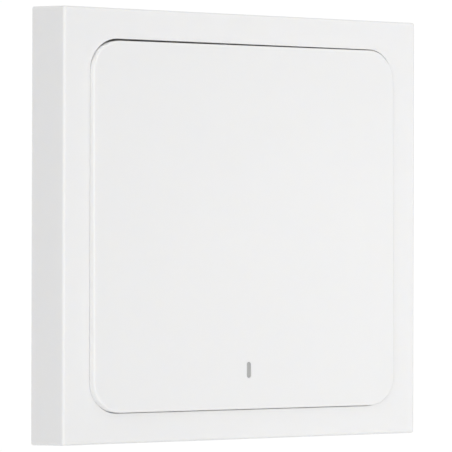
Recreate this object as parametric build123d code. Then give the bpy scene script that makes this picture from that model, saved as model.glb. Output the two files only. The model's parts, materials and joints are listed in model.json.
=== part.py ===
from build123d import *
from math import atan, cos, degrees, radians, sin
import os

# A square wireless light switch for a wall: a drafted frame with one large rocker hinged near its top.
# Behind them a base carries a coin cell, a circuit board and a tact switch, and hangs on a wall plate.
# Millimetres. The origin is the middle of the wall face, +Z is up and +Y runs into the wall.
# A distance called "out" is measured off the wall towards the room, along -Y.

# Front frame
FRAME_REAR = 86.0  # outline at the rear edge
FRAME_FRONT = 85.1  # outline at the front face
FRAME_START = 0.2  # shadow gap to the wall
FRAME_OUT = 11.25  # front face off the wall
FRAME_WALL = 1.8
FRONT_WALL = 1.6
FRAME_EDGE_R = 0.5  # of its front edge and of its four corners
OPENING = 73.2
OPENING_R = 6.2
LIP_WALL = 1.2
LIP_END = 8.0
GUSSET_X = (-26.0, 0.0, 26.0)
GUSSET_T = 1.0

# Rocker, drawn level and then leaned out about its hinge
ROCKER = 72.8
ROCKER_R = 6.0
ROCKER_EDGE_R = 0.4
ROCKER_PROUD = 1.31  # over the frame's front face when it is pressed level
ROCKER_TILT = 0.403  # degrees that it leans out at rest, which is its travel
PLATE = 1.5
SKIRT_WALL = 1.2
SKIRT_DEPTH = 2.6
RIB_T = 0.8
RIB_HIGH = 0.9
RIB_X = (-24.5, -4.5, 4.5, 24.5)
RIB_UP = (24.0, -8.0, -22.0)
PUSHER_R = 1.6
PUSHER_SPAN = 9.0
HINGE_UP = 31.5
HINGE_OUT = 8.4
HINGE_R = 1.2
RUNNING = 0.05  # radial clearance of the hinge
EAR_X = 26.1
EAR_T = 1.8
EAR_R = 2.2
STUB_LENGTH = 4.5
TOWER_T = 3.0
TOWER_R = 2.5

# Wall plate and its hooks
WALL_PLATE = 73.0
WALL_PLATE_T = 1.6
WALL_PLATE_R = 4.0
SCREW_SPACING = 60.0
SLOT_WIDTH = 4.2
SLOT_LENGTH = 8.5
SLOT_RIM = 1.8
SLOT_RIM_DEPTH = 0.6
PAD_T = 0.6
PAD_SIZE = (56.0, 11.0)
PAD_CORNER_R = 2.0
PAD_UP = 27.0
HOOK_X = 22.0
HOOK_TOPS = (12.0, -20.0)
HOOK_WIDTH = 7.0
HOOK_STEM = 1.8
HOOK_REACH = 2.0
LIFT = 2.25  # how far the unit lifts to come off the hooks

# Base housing
BASE = 81.4
BASE_CORNER_R = 2.5
BASE_REAR = 1.9
FLOOR = 1.4
BASE_WALL = 1.4
FLOOR_RIB_X = (-12.0, 12.0)
FLOOR_RIB_HIGH = 1.2
BASE_WALL_OUT = 6.4
SNAP_X = 16.0
SNAP_WIDTH = 7.6
SNAP_OUT = 8.3
SNAP_BEAD = 0.4

# Coin cell and its door
CELL_UP = 4.0
CELL_R = 10.0
CELL_START = 3.05
CELL_T = 3.2
CELL_LIP = 1.0  # width of the can's rim about the seal
SEAL_T = 0.5
SEAL_START = 5.05
DOOR_R = 14.0
DOOR_HUB_R = 11.6
DOOR_LUG_R = 13.0
DOOR_RELEASE = 40.0  # degrees of turn that free the lugs
LUG_SPREAD = 24.0
COIN_SLOT = (15.0, 1.8)
WELL_R = 13.5
WELL_WALL = 1.2

# Circuit board and the parts on it
BOARD_REAR = 6.9
BOARD_T = 1.0
BOARD_X = 27.0
BOARD_LOW = -30.8
BOARD_HIGH = 24.0
BOARD_SCREWS = ((-23.5, -27.5), (23.5, -27.5), (-23.5, 20.5), (23.5, 20.5))
BOARD_PINS = ((-23.5, -6.0), (23.5, -6.0))
BOARD_HOLE_R = 1.0
SCREW_R = 0.75
SCREW_HEAD_R = 1.6
SCREW_HEAD_T = 0.9
SCREW_BITE = 2.6  # how deep the screw runs into its post
PIN_R = 0.8
SWITCH_UP = -14.0
SWITCH_SIZE = 6.0
COVER_REAR = 9.1
COVER_OUT = 9.45
PLUNGER_OUT = 10.35
PLUNGER_R = 1.5
LIGHT_UP = -28.7
LIGHT_SIZE = (1.0, 3.2)
GUIDE_FLANGE = (3.0, 5.2)
GUIDE_FLANGE_T = 0.8
GUIDE_STEM = (1.2, 2.2)
GUIDE_GAP = 1.2  # between the board and the guide's stem
RADIO_AT = (-13.5, 8.0)
RADIO_SIZE = (13.0, 18.0)
RADIO_OUT = 8.7
SHIELD = 11.0
SHIELD_HIGH = 1.4
CRYSTAL_AT = (-1.5, 12.0)
METAL_T = 0.22
CONTACT_WIDTH = 3.5
LEAD_HIGH = 1.0
LEAD_T = 0.2
CHIP_T = 0.6

# Catches, stops and springs of the rocker
CATCH_X = 20.0
CATCH_WIDTH = 5.0
CATCH_REAR = 6.35
BARB_UP = -33.5
STOP_AT = (28.0, -35.2)
STOP_R = 1.2
STOP_OUT = 8.4
SPRING_X = 31.5
SPRING_WIDTH = 4.0
SPRING_FOOT_UP = -12.0
SPRING_FOOT_OUT = 6.0
SPRING_TIP_UP = -28.0
STAKE_R = 0.7

ROOT = 0.2  # depth that a post or rib runs into what carries it
ROUND_STEPS = 36  # of a large round that nothing turns in

FLOOR_OUT = BASE_REAR + FLOOR
BOARD_OUT = BOARD_REAR + BOARD_T
ROCKER_OUT = FRAME_OUT + ROCKER_PROUD
PLATE_INSIDE = ROCKER_OUT - PLATE
CELL_OUT = CELL_START + CELL_T
SIDE = Plane(origin=(0, 0, 0), x_dir=(0, 0, 1), z_dir=(1, 0, 0))  # its points are (up, out)
ABOVE = Plane(origin=(0, 0, 0), x_dir=(1, 0, 0), z_dir=(0, 0, -1))  # its points are (across, out)


def slab(outline, start, stop, draft=0):
    """An outline drawn as seen from the room, solid from start to stop out."""
    return extrude(Plane.XZ.offset(start) * outline, amount=stop - start, taper=draft)


def square(size, corner):
    return RectangleRounded(size, size, corner)


def post(radius, steps=12):
    """Outline of a small post, pin or hole, its round drawn in a few even steps."""
    return RegularPolygon(radius, steps)


def side_bar(points, middle_x, width):
    """A profile seen from the side, its points (up, out), made width wide about middle_x."""
    face = SIDE.offset(middle_x) * Polygon(*points, align=None)
    return extrude(face, amount=width / 2, both=True)


def strip(points, bend, plane, middle, width, thickness):
    """Sheet metal bent along points on a plane, its bends rounded, width wide about middle."""
    path = plane.offset(middle) * FilletPolyline(*points, radius=bend)
    start = Plane(origin=path @ 0, x_dir=plane.z_dir, z_dir=path % 0)
    return sweep(start * Rectangle(width, thickness), path=path)


def ring_sector(inner, outer, middle, spread):
    """A piece of a flat ring about the origin, its middle at an angle from the right."""
    reach = 2 * outer
    corners = [
        (reach * cos(radians(angle)), reach * sin(radians(angle)))
        for angle in (middle - spread / 2, middle + spread / 2)
    ]
    return (Circle(outer) - Circle(inner)) & Polygon((0, 0), *corners, align=None)


def thirds(inner, outer, turn, spread):
    """Three ring pieces about the cell's middle, counted from the lowest point."""
    outline = Sketch()
    for third in range(3):
        outline += ring_sector(inner, outer, 270 + turn + 120 * third, spread)
    return Pos(0, CELL_UP) * outline


def front_edges(piece):
    return piece.edges().group_by(Axis.Y)[0]


def rear_edges(piece):
    return piece.edges().group_by(Axis.Y)[-1]


def mirrored(piece):
    """A piece and its twin on the other side of the middle."""
    return [piece, mirror(piece, about=Plane.YZ)]


def four_sides(piece):
    return [Rot(0, 90 * turn, 0) * piece for turn in range(4)]


def swing(up):
    """How far a point at this height moves towards the wall when the rocker is pressed level."""
    return (HINGE_UP - up) * sin(radians(ROCKER_TILT))


def leaned(piece):
    """A piece drawn for the level rocker, turned out to where it rests."""
    hinge = Axis((0, -HINGE_OUT, HINGE_UP), (1, 0, 0))
    return piece.rotate(hinge, -ROCKER_TILT)


def front_frame():
    """Drafted shell with a rounded opening, a lip behind it, gussets and snap pockets."""
    slope = degrees(atan((FRAME_REAR - FRAME_FRONT) / 2 / (FRAME_OUT - FRAME_START)))
    inside = FRAME_REAR - 2 * FRAME_WALL
    ceiling = FRAME_OUT - FRONT_WALL
    lip_outside = OPENING + 2 * LIP_WALL
    shell = slab(Rectangle(FRAME_REAR, FRAME_REAR), FRAME_START, FRAME_OUT, slope)
    outer_edges = shell.edges() - rear_edges(shell)
    shell = fillet(outer_edges, FRAME_EDGE_R)
    shell -= slab(square(inside, 2.0), FRAME_START, ceiling)
    shell += slab(square(lip_outside, OPENING_R + LIP_WALL), LIP_END, ceiling)
    gusset = Pos(0, (inside + lip_outside) / 4) * Rectangle(GUSSET_T, (inside - lip_outside) / 2)
    for across in GUSSET_X:
        for rib in four_sides(slab(Pos(across, 0) * gusset, SNAP_OUT + 0.1, ceiling)):
            shell += rib
    pocket = Pos(SNAP_X, inside / 2) * Rectangle(SNAP_WIDTH + 0.8, 2 * (SNAP_BEAD + 0.2))
    for twin in mirrored(slab(pocket, SNAP_OUT - 1.3, SNAP_OUT)):
        for cut in four_sides(twin):
            shell -= cut
    return shell - slab(square(OPENING, OPENING_R), LIP_END, FRAME_OUT)


def hinge_ear():
    """Arm behind the rocker's plate that ends in a round stub, on the right side."""
    arm = slab(Pos(EAR_X, HINGE_UP) * Rectangle(EAR_T, 2 * EAR_R), HINGE_OUT, PLATE_INSIDE)
    pivot = SIDE.offset(EAR_X) * Pos(HINGE_UP, HINGE_OUT)
    arm += extrude(pivot * Circle(EAR_R), amount=EAR_T / 2, both=True)
    return arm + extrude(pivot * Circle(HINGE_R), amount=STUB_LENGTH)


def stop_hook():
    """Arm at the rocker's foot whose barb meets the catch when the rocker leans out."""
    foot = -ROCKER / 2 + SKIRT_WALL
    barb_out = CATCH_REAR - 0.05 - swing(BARB_UP)
    points = (
        (foot, PLATE_INSIDE),
        (foot, barb_out - 0.9),
        (foot + 1.2, barb_out - 0.9),
        (foot + 2.1, barb_out - 0.3),
        (foot + 2.1, barb_out),
        (foot + 1.2, barb_out),
        (foot + 1.2, PLATE_INSIDE),
    )
    return side_bar(points, CATCH_X, CATCH_WIDTH)


def pill(size):
    """Upright outline with round ends at the indicator's place."""
    return Pos(0, LIGHT_UP) * SlotOverall(size[1], size[0], rotation=90)


def rounded_rim(size, corner, top, radius, facets=2):
    """Front layer of a plate whose edge is rounded, as a stack of bevelled layers."""
    rim = None
    for step in range(facets):
        low = radians(90 * step / facets)
        high = radians(90 * (step + 1) / facets)
        inset = radius * (1 - cos(low))
        outline = square(size - 2 * inset, corner - inset)
        slope = degrees(low + high) / 2
        layer = slab(outline, top - radius * (1 - sin(low)), top - radius * (1 - sin(high)), draft=slope)
        rim = layer if rim is None else rim + layer
    return rim


def rocker():
    """Press plate with a rounded edge, skirt, ribs, hinge stubs, stop hooks and pusher."""
    skirt_end = PLATE_INSIDE - SKIRT_DEPTH
    rib_out = PLATE_INSIDE - RIB_HIGH
    span = ROCKER - SKIRT_WALL
    body = slab(square(ROCKER, ROCKER_R), skirt_end, ROCKER_OUT - ROCKER_EDGE_R)
    body += rounded_rim(ROCKER, ROCKER_R, ROCKER_OUT, ROCKER_EDGE_R)
    body -= slab(square(ROCKER - 2 * SKIRT_WALL, ROCKER_R - SKIRT_WALL), skirt_end, PLATE_INSIDE)
    for across in RIB_X:
        body += slab(Pos(across, 0) * Rectangle(RIB_T, span), rib_out, PLATE_INSIDE)
    for up in RIB_UP:
        body += slab(Pos(0, up) * Rectangle(span, RIB_T), rib_out, PLATE_INSIDE)
    tip = PLUNGER_OUT + 0.03 - swing(SWITCH_UP)
    pusher_at = Pos(0, SWITCH_UP)
    body += chamfer(rear_edges(slab(pusher_at * post(PUSHER_R), tip, PLATE_INSIDE)), 0.3)
    for size in ((PUSHER_SPAN, RIB_T), (RIB_T, PUSHER_SPAN)):
        body += slab(pusher_at * Rectangle(*size), tip + 0.35, PLATE_INSIDE)
    for detail in mirrored(hinge_ear()) + mirrored(stop_hook()):
        body += detail
    return leaned(body - slab(pill(LIGHT_SIZE), 0, ROCKER_OUT))


def light_guide():
    """Grey pill flush with the rocker's face, with a flange and a stem towards the light."""
    guide = slab(pill(LIGHT_SIZE), PLATE_INSIDE, ROCKER_OUT)
    flange_out = PLATE_INSIDE - GUIDE_FLANGE_T
    guide += slab(Pos(0, LIGHT_UP) * Rectangle(*GUIDE_FLANGE), flange_out, PLATE_INSIDE)
    guide += slab(Pos(0, LIGHT_UP) * Rectangle(*GUIDE_STEM), BOARD_OUT + GUIDE_GAP, flange_out + ROOT)
    return leaned(guide)


def pad_outline(up, gap):
    width, height = PAD_SIZE
    return Pos(0, up) * RectangleRounded(width - 2 * gap, height - 2 * gap, PAD_CORNER_R - gap)


def wall_plate():
    """Plate with screw slots, pockets for the foam pads and four hooks that point up."""
    plate = slab(square(WALL_PLATE, WALL_PLATE_R), 0, WALL_PLATE_T)
    plate = chamfer(front_edges(plate), 0.3)
    for across in (-SCREW_SPACING / 2, SCREW_SPACING / 2):
        rim = SlotOverall(SLOT_LENGTH + 2 * SLOT_RIM, SLOT_WIDTH + 2 * SLOT_RIM)
        plate -= slab(Pos(across, 0) * SlotOverall(SLOT_LENGTH, SLOT_WIDTH), 0, WALL_PLATE_T)
        plate -= slab(Pos(across, 0) * rim, WALL_PLATE_T - SLOT_RIM_DEPTH, WALL_PLATE_T)
    for up in (-PAD_UP, PAD_UP):
        plate -= slab(pad_outline(up, 0.0), 0, PAD_T)
    head_rear = FLOOR_OUT + 0.1
    for top in HOOK_TOPS:
        points = (
            (top - HOOK_STEM, WALL_PLATE_T - 0.3),
            (top, WALL_PLATE_T - 0.3),
            (top, head_rear),
            (top + HOOK_REACH, head_rear),
            (top + HOOK_REACH, head_rear + 0.7),
            (top + HOOK_REACH - 0.5, head_rear + 1.1),
            (top - HOOK_STEM, head_rear + 1.1),
        )
        for hook in mirrored(side_bar(points, HOOK_X, HOOK_WIDTH)):
            plate += hook
    return plate


def adhesive_pads():
    return [slab(pad_outline(up, 0.25), 0, PAD_T) for up in (-PAD_UP, PAD_UP)]


def hinge_tower():
    """Post with a round cradle, open towards the room, that a hinge stub snaps into."""
    across = EAR_X + EAR_T / 2 + 0.3 + TOWER_T / 2
    cradle = SIDE.offset(across) * Pos(HINGE_UP, HINGE_OUT)
    mouth = Polygon((-0.9, 0), (0.9, 0), (1.7, 2.6), (-1.7, 2.6), align=None)
    tower = slab(Pos(across, HINGE_UP) * Rectangle(TOWER_T, 2 * TOWER_R), FLOOR_OUT - ROOT, HINGE_OUT)
    tower += extrude(cradle * Circle(TOWER_R), amount=TOWER_T / 2, both=True)
    tower -= extrude(cradle * Circle(HINGE_R + RUNNING), amount=TOWER_T, both=True)
    return tower - extrude(cradle * mouth, amount=TOWER_T, both=True)


def catch():
    """Bracket on the base's floor that holds the rocker's stop hook."""
    foot = -ROCKER / 2 + SKIRT_WALL + 2.4
    points = (
        (foot + 1.2, FLOOR_OUT - ROOT),
        (foot, FLOOR_OUT - ROOT),
        (foot, CATCH_REAR),
        (foot - 1.0, CATCH_REAR),
        (foot - 1.0, CATCH_REAR + 0.5),
        (foot - 0.4, CATCH_REAR + 1.2),
        (foot + 1.2, CATCH_REAR + 1.2),
    )
    return side_bar(points, CATCH_X, CATCH_WIDTH + 1.0)


def snap_tab():
    """Raised stretch of the base's wall with a bead that sits in the frame's pocket."""
    outer = BASE / 2
    points = (
        (outer - BASE_WALL, BASE_WALL_OUT - 0.5),
        (outer, BASE_WALL_OUT - 0.5),
        (outer, SNAP_OUT - 1.1),
        (outer + SNAP_BEAD + 0.5, SNAP_OUT - 0.9),
        (outer + SNAP_BEAD + 0.5, SNAP_OUT - 0.6),
        (outer, SNAP_OUT - 0.1),
        (outer - BASE_WALL, SNAP_OUT - 0.1),
    )
    return side_bar(points, SNAP_X, SNAP_WIDTH)


def door_seat():
    """What is cut from the floor for the bayonet door: its step, hub and lug notches."""
    cell = Pos(0, CELL_UP)
    seat = slab(cell * Circle(DOOR_R + 0.2), BASE_REAR, BASE_REAR + 0.9)
    seat += slab(cell * Circle(DOOR_HUB_R + 0.2), BASE_REAR, FLOOR_OUT)
    notches = thirds(DOOR_HUB_R - 1, DOOR_LUG_R + 0.3, DOOR_RELEASE, LUG_SPREAD + 4)
    return seat + slab(notches, BASE_REAR, FLOOR_OUT)


def base_housing():
    """Tray with a bayonet opening and well, board posts, hinge towers, catches and snap tabs."""
    cell = Pos(0, CELL_UP)
    tray = slab(square(BASE, BASE_CORNER_R), BASE_REAR, BASE_WALL_OUT)
    tray = chamfer(rear_edges(tray), 0.4)
    tray -= slab(square(BASE - 2 * BASE_WALL, BASE_CORNER_R - 0.9), FLOOR_OUT, BASE_WALL_OUT)
    for twin in mirrored(snap_tab()):
        for tab in four_sides(twin):
            tray += tab
    span = BASE - BASE_WALL
    ribs = [Pos(across, 0) * Rectangle(RIB_T, span) for across in FLOOR_RIB_X]
    ribs.append(cell * Rectangle(span, RIB_T))
    for outline in ribs:
        tray += slab(outline, FLOOR_OUT - ROOT, FLOOR_OUT + FLOOR_RIB_HIGH)
    tray += slab(cell * post(WELL_R + WELL_WALL, ROUND_STEPS), FLOOR_OUT - ROOT, BOARD_REAR - 0.8)
    tray -= slab(cell * post(WELL_R, ROUND_STEPS), FLOOR_OUT, BOARD_REAR)
    tray -= door_seat()
    stop_turn = DOOR_RELEASE + LUG_SPREAD / 2 + 4.5
    tray += slab(thirds(DOOR_HUB_R + 0.6, WELL_R + 0.2, stop_turn, 8), FLOOR_OUT - 0.3, FLOOR_OUT + 1.0)
    slot_high = 0.05 + HOOK_STEM + LIFT + 0.35
    for top in HOOK_TOPS:
        outline = Pos(HOOK_X, top + 0.05 - slot_high / 2) * Rectangle(HOOK_WIDTH + 1.0, slot_high)
        for slot in mirrored(slab(outline, BASE_REAR, FLOOR_OUT)):
            tray -= slot
    for across, up in BOARD_SCREWS:
        tray += slab(Pos(across, up) * post(SCREW_R + 1.5), FLOOR_OUT - ROOT, BOARD_REAR)
        tray -= slab(Pos(across, up) * post(SCREW_R + 0.05), FLOOR_OUT + 0.4, BOARD_REAR)
    for across, up in BOARD_PINS:
        tray += slab(Pos(across, up) * post(2 * PIN_R), FLOOR_OUT - ROOT, BOARD_REAR)
        tray += slab(Pos(across, up) * post(PIN_R), BOARD_REAR - ROOT, BOARD_OUT + 0.4)
    spring_post = Pos(SPRING_X, SPRING_FOOT_UP)
    stake_out = SPRING_FOOT_OUT + METAL_T
    details = mirrored(hinge_tower()) + mirrored(catch())
    block = spring_post * Rectangle(SPRING_WIDTH, 5.6)
    details += mirrored(slab(block, FLOOR_OUT - ROOT, SPRING_FOOT_OUT))
    details += mirrored(slab(spring_post * post(STAKE_R), SPRING_FOOT_OUT - ROOT, stake_out + 0.3))
    details += mirrored(slab(spring_post * post(STAKE_R + 0.5), stake_out + 0.02, stake_out + 0.5))
    details += mirrored(slab(Pos(*STOP_AT) * post(STOP_R + 0.3), FLOOR_OUT - ROOT, STOP_OUT - 0.8))
    for detail in details:
        tray += detail
    return tray


def battery_door():
    """Round bayonet door with three lugs behind the floor's rim and a coin slot."""
    cell = Pos(0, CELL_UP)
    hub_out = FLOOR_OUT + 1.1
    door = slab(cell * Circle(DOOR_R), BASE_REAR + 0.05, BASE_REAR + 0.8)
    door += slab(cell * Circle(DOOR_HUB_R), BASE_REAR + 0.5, hub_out)
    door += slab(thirds(DOOR_HUB_R - 0.5, DOOR_LUG_R, 0, LUG_SPREAD), FLOOR_OUT + 0.1, hub_out)
    door -= slab(cell * post(CELL_R + 0.4, ROUND_STEPS), CELL_START - 0.05, hub_out)
    return door - slab(cell * SlotOverall(*COIN_SLOT, rotation=45), BASE_REAR, BASE_REAR + 0.55)


def cell_disc(radius, start, stop):
    return slab(Pos(0, CELL_UP) * post(radius, ROUND_STEPS), start, stop)


def battery_can():
    """Steel cup of the coin cell, open towards the board for the seal and the cap."""
    can = cell_disc(CELL_R, CELL_START, CELL_OUT - 0.3)
    return can - cell_disc(CELL_R - CELL_LIP, SEAL_START, CELL_OUT)


def battery_seal():
    """Ring that keeps the cap and the can of the cell apart."""
    ring = cell_disc(CELL_R - CELL_LIP, SEAL_START, CELL_OUT - 0.25)
    return ring - cell_disc(CELL_R - CELL_LIP - SEAL_T, SEAL_START, CELL_OUT)


def battery_cap():
    """Lid of the coin cell on the board's side, its negative pole."""
    return cell_disc(CELL_R - CELL_LIP - SEAL_T, SEAL_START, CELL_OUT)


def circuit_board():
    middle = (BOARD_LOW + BOARD_HIGH) / 2
    outline = Pos(0, middle) * RectangleRounded(2 * BOARD_X, BOARD_HIGH - BOARD_LOW, 2.0)
    for across, up in BOARD_SCREWS:
        outline -= Pos(across, up) * post(BOARD_HOLE_R)
    for across, up in BOARD_PINS:
        outline -= Pos(across, up) * post(BOARD_HOLE_R)
    return slab(outline, BOARD_REAR, BOARD_OUT)


def board_screws():
    """Pan-head screws that hold the board on its posts."""
    screw = slab(post(SCREW_R), BOARD_REAR - SCREW_BITE, BOARD_OUT + ROOT)
    screw += slab(post(SCREW_HEAD_R), BOARD_OUT, BOARD_OUT + SCREW_HEAD_T)
    return [Pos(across, 0, up) * screw for across, up in BOARD_SCREWS]


def contact_negative():
    """Bent tongue on the board's back that presses the cell's cap."""
    foot_out = BOARD_REAR - METAL_T / 2
    tip_out = CELL_OUT + METAL_T / 2 + 0.02
    points = ((-7.0, foot_out), (-3.4, foot_out), (0.0, tip_out), (2.2, tip_out + 0.4))
    return strip(points, 0.5, ABOVE, -CELL_UP, CONTACT_WIDTH, METAL_T)


def contact_positive():
    """Bent clip on the board's back that presses the side of the cell's can."""
    foot_out = BOARD_REAR - METAL_T / 2
    touch = CELL_R + METAL_T / 2 + 0.25
    points = ((15.5, foot_out), (12.6, foot_out), (12.2, 4.95), (touch, 5.4), (touch + 0.5, 6.2))
    return strip(points, 0.2, ABOVE, -CELL_UP, CONTACT_WIDTH, METAL_T)


def switch_body():
    """Moulded block of the tact switch, hollow for the plunger's flange."""
    block = slab(Pos(0, SWITCH_UP) * Rectangle(SWITCH_SIZE, SWITCH_SIZE), BOARD_OUT, COVER_REAR)
    return block - slab(Pos(0, SWITCH_UP) * Circle(PLUNGER_R + 0.75), BOARD_OUT + 0.3, COVER_REAR)


def switch_cover():
    """Sheet-metal cover with a hole for the plunger and two clips down its sides."""
    top = Pos(0, SWITCH_UP) * (Rectangle(SWITCH_SIZE, SWITCH_SIZE) - Circle(PLUNGER_R + 0.15))
    cover = slab(top, COVER_REAR, COVER_OUT)
    clip = Pos(SWITCH_SIZE / 2 + 0.1, SWITCH_UP) * Rectangle(0.2, 1.6)
    for side in mirrored(slab(clip, BOARD_OUT + 0.3, COVER_OUT)):
        cover += side
    return cover


def switch_leads():
    """Four gull-wing leads of the tact switch, at its corners."""
    half = SWITCH_SIZE / 2
    points = (
        (half, BOARD_OUT + LEAD_HIGH - LEAD_T),
        (half + 0.5, BOARD_OUT + LEAD_HIGH - LEAD_T),
        (half + 0.8, BOARD_OUT),
        (half + 1.9, BOARD_OUT),
        (half + 1.9, BOARD_OUT + LEAD_T),
        (half + 1.0, BOARD_OUT + LEAD_T),
        (half + 0.7, BOARD_OUT + LEAD_HIGH),
        (half, BOARD_OUT + LEAD_HIGH),
    )
    lead = extrude(ABOVE.offset(-SWITCH_UP - 2.0) * Polygon(*points, align=None), amount=0.4, both=True)
    return mirrored(lead) + [Pos(0, 0, -4.0) * twin for twin in mirrored(lead)]


def switch_dome():
    """Snap disc under the plunger: it gives the click and pushes back."""
    low = BOARD_OUT + 0.32
    at = Pos(0, SWITCH_UP)
    disc = slab(at * (post(2.1) - post(1.5)), low, low + 0.15)
    disc += slab(at * (post(1.7) - post(0.8)), low + 0.1, low + 0.3)
    return disc + slab(at * post(1.1), low + 0.25, low + 0.4)


def switch_plunger():
    """Round button with a flange that the cover keeps in."""
    low = COVER_REAR - 0.35
    flange = slab(Pos(0, SWITCH_UP) * post(PLUNGER_R + 0.5), low, COVER_REAR - 0.02)
    stem = slab(Pos(0, SWITCH_UP) * Circle(PLUNGER_R), low, PLUNGER_OUT)
    return flange + chamfer(front_edges(stem), 0.25)


def radio_board():
    """Small board with a row of half-round pads along each long side."""
    width, height = RADIO_SIZE
    outline = Rectangle(width, height)
    for row in range(8):
        for side in (-1, 1):
            outline -= Pos(side * width / 2, 1.6 * row - 8.0) * RegularPolygon(0.4, 6)
    return slab(Pos(*RADIO_AT) * outline, BOARD_OUT, RADIO_OUT)


def radio_shield():
    """Drawn steel can over the radio's chip."""
    across, up = RADIO_AT
    can = slab(Pos(across, up - 2.6) * Rectangle(SHIELD, SHIELD), RADIO_OUT, RADIO_OUT + SHIELD_HIGH)
    return chamfer(front_edges(can), 0.3)


def radio_antenna():
    """Folded copper track at the upper end of the radio board."""
    across, up = RADIO_AT
    track = Sketch()
    for fold in range(5):
        middle = 2.4 * (fold - 2)
        track += Pos(middle, 0) * (Rectangle(1.8, 3.4) - Pos(0, -0.5) * Rectangle(0.8, 3.4))
        if fold < 4:
            track += Pos(middle + 1.2, -1.45) * Rectangle(1.6, 0.5)
    return slab(Pos(across, up + 5.9) * track, RADIO_OUT, RADIO_OUT + 0.06)


def crystal():
    """Metal can of the clock crystal, its rim a step lower than its lid."""
    at = Pos(*CRYSTAL_AT)
    base = slab(at * Rectangle(3.2, 2.5), BOARD_OUT, BOARD_OUT + 0.45)
    return base + slab(at * Rectangle(2.8, 2.1), BOARD_OUT + 0.4, BOARD_OUT + 0.8)


def chip_parts():
    """Small capacitors and resistors beside the radio and the tact switch."""
    upright = [(-24.0, 12.0 - 3.0 * row) for row in range(4)]
    upright += [(8.0 + 3.0 * row, 12.0) for row in range(4)]
    lying = [(-9.5, -14.0), (9.5, -14.0), (-5.5, -26.0), (5.5, -26.0), (12.0, -20.0)]
    chips = [slab(Pos(*place) * Rectangle(0.9, 1.6), BOARD_OUT, BOARD_OUT + CHIP_T) for place in upright]
    tall = BOARD_OUT + CHIP_T + 0.2
    chips += [slab(Pos(*place) * Rectangle(2.0, 1.25), BOARD_OUT, tall) for place in lying]
    return chips


def indicator_led():
    """Small lamp under the light guide, a clear block on its carrier."""
    lamp = slab(Pos(0, LIGHT_UP) * Rectangle(0.8, 1.6), BOARD_OUT, BOARD_OUT + 0.3)
    return lamp + slab(Pos(0, LIGHT_UP) * Rectangle(0.8, 1.1), BOARD_OUT + 0.3, BOARD_OUT + 0.65)


def return_springs():
    """Two leaf springs staked to the base that hold the rocker out."""
    foot_out = SPRING_FOOT_OUT + METAL_T / 2
    tip_out = PLATE_INSIDE + swing(SPRING_TIP_UP) - METAL_T / 2 - 0.1
    points = (
        (SPRING_FOOT_UP + 2.7, foot_out),
        (SPRING_FOOT_UP - 3.0, foot_out),
        (SPRING_TIP_UP, tip_out),
        (SPRING_TIP_UP - 2.2, tip_out - 0.9),
    )
    leaf = strip(points, 1.0, SIDE, SPRING_X, SPRING_WIDTH, METAL_T)
    foot = Pos(SPRING_X, SPRING_FOOT_UP)
    hole = slab(foot * post(STAKE_R + 0.05), SPRING_FOOT_OUT - 0.5, SPRING_FOOT_OUT + 0.5)
    return mirrored(leaf - hole)


def stop_pads():
    """Soft pads on the base's lower posts that end the press."""
    return mirrored(slab(Pos(*STOP_AT) * post(STOP_R, 16), STOP_OUT - 0.8, STOP_OUT))


PARTS = (
    front_frame,
    rocker,
    light_guide,
    wall_plate,
    adhesive_pads,
    base_housing,
    battery_door,
    battery_can,
    battery_seal,
    battery_cap,
    circuit_board,
    board_screws,
    contact_negative,
    contact_positive,
    switch_body,
    switch_cover,
    switch_leads,
    switch_dome,
    switch_plunger,
    radio_board,
    radio_shield,
    radio_antenna,
    crystal,
    chip_parts,
    indicator_led,
    return_springs,
    stop_pads,
)

os.makedirs("parts", exist_ok=True)
for make in PARTS:
    made = make()
    if isinstance(made, list):
        made = Compound(children=made)
    export_step(made, f"parts/{make.__name__}.step")
    print(make.__name__, len(made.solids()), "solids", round(made.volume, 2), "mm3")
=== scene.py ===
# %% [markdown]
# This file dresses a light switch that was drawn in CAD. Everything that is made below is
# drawn in that same space, in metres, so nothing has to be fitted afterwards.

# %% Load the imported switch
import bmesh
import bpy
import json
import math
from mathutils import Matrix, Vector


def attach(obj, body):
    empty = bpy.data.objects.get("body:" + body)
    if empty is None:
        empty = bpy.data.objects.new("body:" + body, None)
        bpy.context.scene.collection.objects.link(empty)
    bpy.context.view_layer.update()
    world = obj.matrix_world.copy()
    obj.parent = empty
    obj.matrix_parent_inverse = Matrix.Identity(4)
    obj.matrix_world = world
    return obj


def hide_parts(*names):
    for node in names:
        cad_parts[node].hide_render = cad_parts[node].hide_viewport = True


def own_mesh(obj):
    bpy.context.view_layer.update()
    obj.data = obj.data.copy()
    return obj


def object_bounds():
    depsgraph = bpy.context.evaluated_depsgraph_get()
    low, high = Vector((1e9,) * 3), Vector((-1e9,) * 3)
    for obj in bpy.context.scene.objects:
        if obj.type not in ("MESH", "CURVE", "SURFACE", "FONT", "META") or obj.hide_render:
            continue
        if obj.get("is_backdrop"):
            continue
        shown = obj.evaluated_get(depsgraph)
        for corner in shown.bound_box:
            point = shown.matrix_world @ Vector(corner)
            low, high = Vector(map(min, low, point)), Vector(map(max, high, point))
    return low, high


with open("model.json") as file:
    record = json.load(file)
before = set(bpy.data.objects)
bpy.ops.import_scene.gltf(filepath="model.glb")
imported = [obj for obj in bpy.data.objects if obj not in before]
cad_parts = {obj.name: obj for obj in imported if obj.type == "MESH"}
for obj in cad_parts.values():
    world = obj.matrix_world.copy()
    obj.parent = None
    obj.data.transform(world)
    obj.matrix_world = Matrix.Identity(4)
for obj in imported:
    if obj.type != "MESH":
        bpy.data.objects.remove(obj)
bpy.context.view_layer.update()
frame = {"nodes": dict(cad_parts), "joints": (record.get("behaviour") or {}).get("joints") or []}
joints = {joint["name"]: joint for joint in frame["joints"]}

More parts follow.
